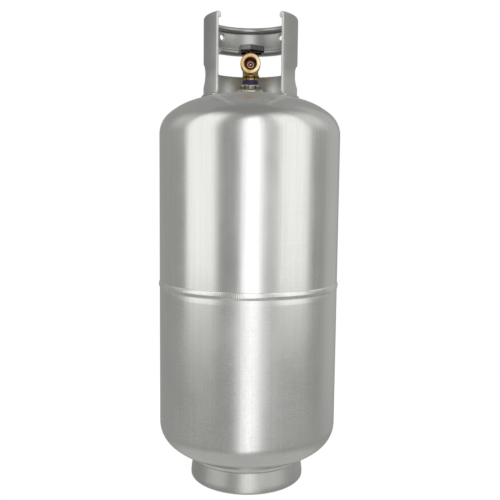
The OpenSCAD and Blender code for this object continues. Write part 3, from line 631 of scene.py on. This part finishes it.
def girth_bead():
    """Low wide bead over the seam, with fine ripples and edges that wander a little."""
    half = (BEAD_HIGH - BEAD_LOW) / 2
    middle = (BEAD_LOW + BEAD_HIGH) / 2
    depth = 0.5 * MM
    steps = 20

    def crown(across):
        """Point of the bead's face from its lower edge at -1 to its upper edge at 1."""
        share = math.cos(across * math.pi / 2) ** 0.8 if abs(across) < 1 else 0
        return Vector((SHELL_R - depth + (BEAD_H + depth) * share, middle + across * half))

    face = [crown(-1 + 2 * i / steps) for i in range(steps + 1)]
    root_r = STEP_R + 0.5 * MM
    root = [Vector((root_r, BEAD_HIGH - SEAM_BEVEL)), Vector((root_r, BEAD_LOW + STEP_RISE))]

    def place(point, degrees):
        if point.x < SHELL_R - 2 * depth:
            return point
        across = (point.y - middle) / half
        wave = math.cos(travel(degrees, SHELL_R, 3.4 * MM) + 2.2 * across ** 2 + 0.9 * wander(degrees, 4, 2))
        lift = 0.03 * MM * wave * (1 - across ** 2) + 0.09 * MM * wander(degrees, 5, 5)
        slide = 0.35 * MM * wander(degrees, 7, 9) * abs(across)
        return point + Vector((lift, slide))

    piece = revolve("weld_girth", face + root, steps=1440 * 2, wobble=place, sharp=75)
    return paint(stand_for(piece, "girth_weld"), MATERIALS["weld"])


def foot_cone_r(z):
    """Outer radius of the foot ring's cone at a height."""
    return FOOT_R - (FOOT_R - FOOT_NECK_R) * (z - FOOT_LAND_Z) / (FOOT_NECK_Z - FOOT_LAND_Z)


def foot_fillet():
    """Slightly full fillet in the corner between the foot ring and the bottom head, with wandering toes."""
    low = Vector((foot_cone_r(FOOT_WELD_LOW), FOOT_WELD_LOW))
    high = low + Vector(FOOT_WELD_LEG)
    steps = 14
    face = [low.lerp(high, i / steps) for i in range(steps + 1)]
    back_r = low.x - 2.2 * MM
    back = [Vector((back_r, high.y)), Vector((back_r, low.y))]

    def place(point, degrees):
        if point.x < back_r + 0.1 * MM:
            return point
        across = (point.y - low.y) / (high.y - low.y)
        bend = 5 * (across - 0.5) ** 2
        wave = math.cos(travel(degrees, low.x, 3.2 * MM) + bend + 0.9 * wander(degrees, 6, 4))
        lift = 1.3 * MM * math.sin(math.pi * across) + 0.06 * MM * wave + 0.12 * MM * wander(degrees, 8, 6)
        slide = 0.4 * MM * wander(degrees, 10, 8) * (1 - across)
        return point + Vector((lift * 0.8, slide - lift * 0.6))

    piece = revolve("weld_foot", face + back, steps=1440, wobble=place, sharp=75)
    return paint(stand_for(piece, "foot_weld"), MATERIALS["weld"])


def collar_bead():
    """Dull bead outside the collar's base, open at the gap in front."""
    open_half = GAP_HALF + 0.8
    return bead("weld_collar", "collar_weld", (COLLAR_R + 0.4 * MM, 667.0 * MM), 3.4 * MM, 3 * MM, 0.25 * MM,
                start=-90 + COLLAR_TURN + open_half, sweep=360 - 2 * open_half,
                metal=weld_metal("weld_dull", 0.68))


def boss_bead():
    """Thick bead round the boss, tinted yellow as a painted reflection of the brass valve above it."""
    return bead("weld_boss", "boss_weld", (BOSS_R + 0.4 * MM, 675.9 * MM), 4.8 * MM, 2.6 * MM, 0.2 * MM,
                steps=360, metal=weld_metal("weld_boss", 1.0, (0.98, 1.0, 0.72)))


# Foot ring ----------------------------------------------------------------------------------------

def foot_side(inset):
    """Side of the foot ring from the corner up to the head, pulled in by inset."""
    corner = arc((FOOT_R - FOOT_CORNER_R, FOOT_CORNER_R), FOOT_CORNER_R - inset, -90, 0, 8)
    land = Vector((FOOT_R - inset, FOOT_LAND_Z))
    top = Vector((foot_cone_r(FOOT_TOP_Z) - inset, FOOT_TOP_Z))
    return corner + [land, top]


def foot():
    """Foot ring of plate, turned in at the ground."""
    outer = [Vector((FOOT_FLANGE_R, 0))] + foot_side(0)
    inner = [Vector((FOOT_FLANGE_R, FOOT_WALL))] + foot_side(FOOT_WALL)
    outline = rounded(outer + inner[::-1], 0.6 * MM)
    piece = revolve("ring_foot", divided(outline, 6 * MM), steps=288)
    return paint(stand_for(piece, "foot_ring"), FOOT_METAL)


# Valve --------------------------------------------------------------------------------------------

def boss():
    """Boss that the valve screws into, with its spigot and a chamfered top."""
    low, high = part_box("valve_boss")
    outline = [(BOSS_BORE_R, low.z), (BOSS_R, low.z),
               (BOSS_R, BOSS_SHOULDER_Z), (BOSS_LAND_R, BOSS_SHOULDER_Z),
               (BOSS_LAND_R, high.z - BOSS_CHAMFER), (BOSS_LAND_R - BOSS_CHAMFER, high.z),
               (BOSS_BORE_R, high.z)]
    piece = revolve("boss_threaded", rounded([Vector(p) for p in outline], 0.3 * MM), steps=160, sharp=30)
    return paint(stand_for(piece, "valve_boss"), BOSS_METAL)


def sealant():
    """Cured sealant squeezed out of the screwed joint in uneven rings."""
    low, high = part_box("thread_sealant")
    rise = high.z - low.z
    rows = 16
    inner_r = high.x - 0.6 * MM
    outer = [Vector((high.x, low.z + rise * i / rows)) for i in range(rows + 1)]
    inner = [Vector((inner_r, high.z)), Vector((inner_r, low.z))]

    def place(point, degrees):
        if point.x < high.x - 0.3 * MM:
            return point
        turn = (point.y - low.z) / THREAD_PITCH + degrees / 360
        ridge = 0.22 * MM * math.cos(math.tau * turn)
        return point + Vector((ridge + 0.18 * MM * wander(degrees, 20, point.y * 900), 0))

    piece = revolve("sealant_band", outer + inner, steps=160, wobble=place, sharp=75)
    return paint(stand_for(piece, "thread_sealant"), MATERIALS["sealant"])


def coil(name, node, along, wire, turns):
    """Compression spring with closed ends that fills its CAD node's box.

    along is the number of its axis and wire the wire's radius.
    """
    low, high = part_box(node)
    middle = (low + high) / 2
    first, second = [k for k in range(3) if k != along]
    radius = (high[first] - low[first]) / 2 - wire
    length = high[along] - low[along] - 2 * wire
    axis = Vector([1 if k == along else 0 for k in range(3)])
    steps, sides = int(turns * 40), 12
    bm = bmesh.new()
    rings = []
    for i in range(steps + 1):
        t = i / steps
        angle = math.tau * turns * t
        rise = length * (t - 0.35 / turns * math.sin(math.tau * t) * min(1, turns / 4))
        out = Vector((0, 0, 0))
        out[first], out[second] = math.cos(angle), math.sin(angle)
        hub = radius * out
        hub[first] += middle[first]
        hub[second] += middle[second]
        hub[along] = low[along] + wire + rise
        spokes = (unit(360 * k / sides) for k in range(sides))
        rings.append([bm.verts.new(hub + wire * (out * spoke.x + axis * spoke.y)) for spoke in spokes])
    for a, b in zip(rings, rings[1:]):
        for k in range(sides):
            bm.faces.new((a[k], a[(k + 1) % sides], b[(k + 1) % sides], b[k]))
    bm.faces.new(rings[0])
    bm.faces.new(rings[-1])
    piece = paint(stand_for(finish_mesh(name, bm), node), MATERIALS["spring"])
    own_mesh(piece)
    return piece


def springs():
    """Springs of the outlet's check, the relief valve and the overfill stop."""
    coil("coil_outlet", "outlet_spring", 1, 0.6 * MM, 4)
    coil("coil_relief", "relief_spring", 1, 0.8 * MM, 4)
    coil("coil_stop", "opd_spring", 2, 0.5 * MM, 7)


# Pieces with the CAD's own shape ------------------------------------------------------------------

def softened():
    """CAD shapes whose edges are rounded."""
    for name, node, cell, passes in SOFTENED:
        paint(soften(name, node, cell, passes), MATERIALS[SLOT_OF[node]])


def carried_over():
    """CAD nodes that are shown as they are."""
    for node, piece in frame["nodes"].items():
        if not piece.hide_render:
            paint(piece, MATERIALS[SLOT_OF[node]])


# Studio -------------------------------------------------------------------------------------------

class Sky(Nodes):
    """World light as soft boxes on a grey surround, each given by where it stands seen from the tank."""

    def __init__(self):
        world = bpy.data.worlds.new("studio")
        bpy.context.scene.world = world
        super().__init__(world)
        way = self.add("TexCoord").outputs["Generated"]
        x, y, z = self.add("SeparateXYZ", {0: way}).outputs
        self.azimuth = self.math("DEGREES", self.math("ARCTAN2", x, self.times(y, -1.0)))
        self.elevation = self.math("DEGREES", self.math("ARCSINE", z))
        self.light = 0.0
        self.blue = 0.0

    def step(self, value, at, soft):
        """Rises smoothly from 0 to 1 round a place."""
        inputs = {"Value": value, "From Min": at - soft, "From Max": at + soft}
        return self.add("MapRange", inputs, interpolation_type="SMOOTHSTEP").outputs[0]

    def window(self, value, low, high, soft_low, soft_high):
        """1 between two places, with its own softness at each, and 0 outside them."""
        rise = self.step(value, low, soft_low)
        fall = self.step(value, high, soft_high)
        return self.times(rise, self.less(1.0, fall))

    def surround(self, level):
        """Adds even light from everywhere."""
        self.light = self.sum(self.light, level)

    def box(self, azimuth, elevation, level, soft=(5, 5), soft_height=(3, 6), lean=0.0, blue=0.0):
        """Adds light between two azimuths and two elevations.

        lean tilts its top and bottom edges, and blue is the share of its blue that it has more of.
        """
        across = self.window(self.azimuth, *azimuth, *soft)
        height = self.less(self.elevation, self.times(self.azimuth, lean))
        up = self.window(height, *elevation, *soft_height)
        part = self.times(self.times(across, up), level)
        self.light = self.sum(self.light, part)
        self.blue = self.sum(self.blue, self.times(part, blue))

    def finish(self, seen, tint):
        """Joins up the world: its light is tinted, and the camera sees a plain colour instead."""
        red, green, blue = (self.times(self.light, level) for level in tint)
        colour = self.add("CombineColor", {0: red, 1: green, 2: self.sum(blue, self.blue)})
        lit = self.add("Background", {"Color": colour.outputs[0], "Strength": 1.0})
        plain = self.add("Background", {"Color": (*seen, 1), "Strength": 1.0})
        camera_ray = self.add("LightPath").outputs["Is Camera Ray"]
        mixed = self.add("MixShader", {0: camera_ray, 1: lit.outputs[0], 2: plain.outputs[0]})
        self.add("OutputWorld", {0: mixed.outputs[0]})


def studio():
    """Soft light all round: boxes at either side, a strip in front, and the light of a pale room."""
    sky = Sky()
    sky.surround(0.34)
    # tall soft boxes left and right, a strip behind the camera, a dimmer card beside it and one behind
    sky.box((-84, -40), (-11, 60), 0.76, soft=(4, 6), soft_height=(3, 14))
    sky.box((37, 80), (-11, 60), 0.75, soft=(6, 9), soft_height=(3, 14))
    sky.box((-9, 15), (-34, 50), 1.15, soft=(6, 7), soft_height=(6, 9), lean=0.5, blue=0.035)
    sky.box((12, 38), (-18, 57), 0.24, soft=(8, 8), soft_height=(8, 12), blue=0.035)
    sky.box((112, 152), (-20, 50), 0.14, soft=(10, 8), soft_height=(8, 8))
    # edges of the boxes seen from high up, the dim ceiling and the light thrown up by the floor
    sky.box((86, 114), (14, 55), 0.36, soft=(4, 10), soft_height=(16, 12))
    sky.box((-118, -86), (14, 45), 0.22, soft=(10, 4), soft_height=(16, 12))
    sky.box((-200, 200), (66, 120), -0.08, soft_height=(5, 5))
    sky.box((-200, 200), (-120, -40), 0.14, soft_height=(5, 6))
    sky.finish((1, 1, 1), (1, 1, 0.965))


def floor():
    """Round pale floor that fades into the white surround."""
    bm = bmesh.new()
    bmesh.ops.create_circle(bm, cap_ends=True, segments=96, radius=9)
    mesh = bpy.data.meshes.new("floor")
    bm.to_mesh(mesh)
    bm.free()
    piece = bpy.data.objects.new("floor", mesh)
    bpy.context.scene.collection.objects.link(piece)
    piece.location.z = -0.2 * MM
    g = Graph("floor")
    far = g.add("VectorMath", {0: g.place}, operation="LENGTH").outputs["Value"]
    fade = g.spread(far, 0.0, 1.0, 0.35, 1.1)
    matt = g.add("BsdfDiffuse", {"Color": (0.5, 0.5, 0.5, 1)}).outputs[0]
    glow = g.add("Emission", {"Color": (1, 1, 1, 1), "Strength": 0.80}).outputs[0]
    near = g.add("AddShader", {0: matt, 1: glow}).outputs[0]
    white = g.add("Emission", {"Color": (1, 1, 1, 1), "Strength": 1.0}).outputs[0]
    mixed = g.add("MixShader", {0: fade, 1: near, 2: white}).outputs[0]
    g.add("OutputMaterial", {0: mixed})
    paint(piece, g.material)
    piece.visible_diffuse = False
    piece.visible_glossy = False


def camera():
    """Camera in front of the outlet, a little above the tank's middle, tipped down and barely rolled."""
    lens = bpy.data.cameras.new("camera")
    lens.sensor_width = 36
    lens.lens = 49.75
    lens.shift_x = 0.0027
    made = bpy.data.objects.new("camera", lens)
    bpy.context.scene.collection.objects.link(made)
    made.location = (0, -1.2124, 0.5247)
    tip_down, roll = 0.099, 0.01
    turned = Matrix.Rotation(math.pi / 2 - tip_down, 3, "X") @ Matrix.Rotation(roll, 3, "Z")
    made.rotation_euler = turned.to_euler()
    bpy.context.scene.camera = made


shell_upper()
shell_lower()
foot()
girth_bead()
foot_fillet()
collar_bead()
boss_bead()
boss()
sealant()
softened()
springs()
carried_over()
studio()
floor()
camera()
bpy.context.scene.view_settings.view_transform = "Standard"
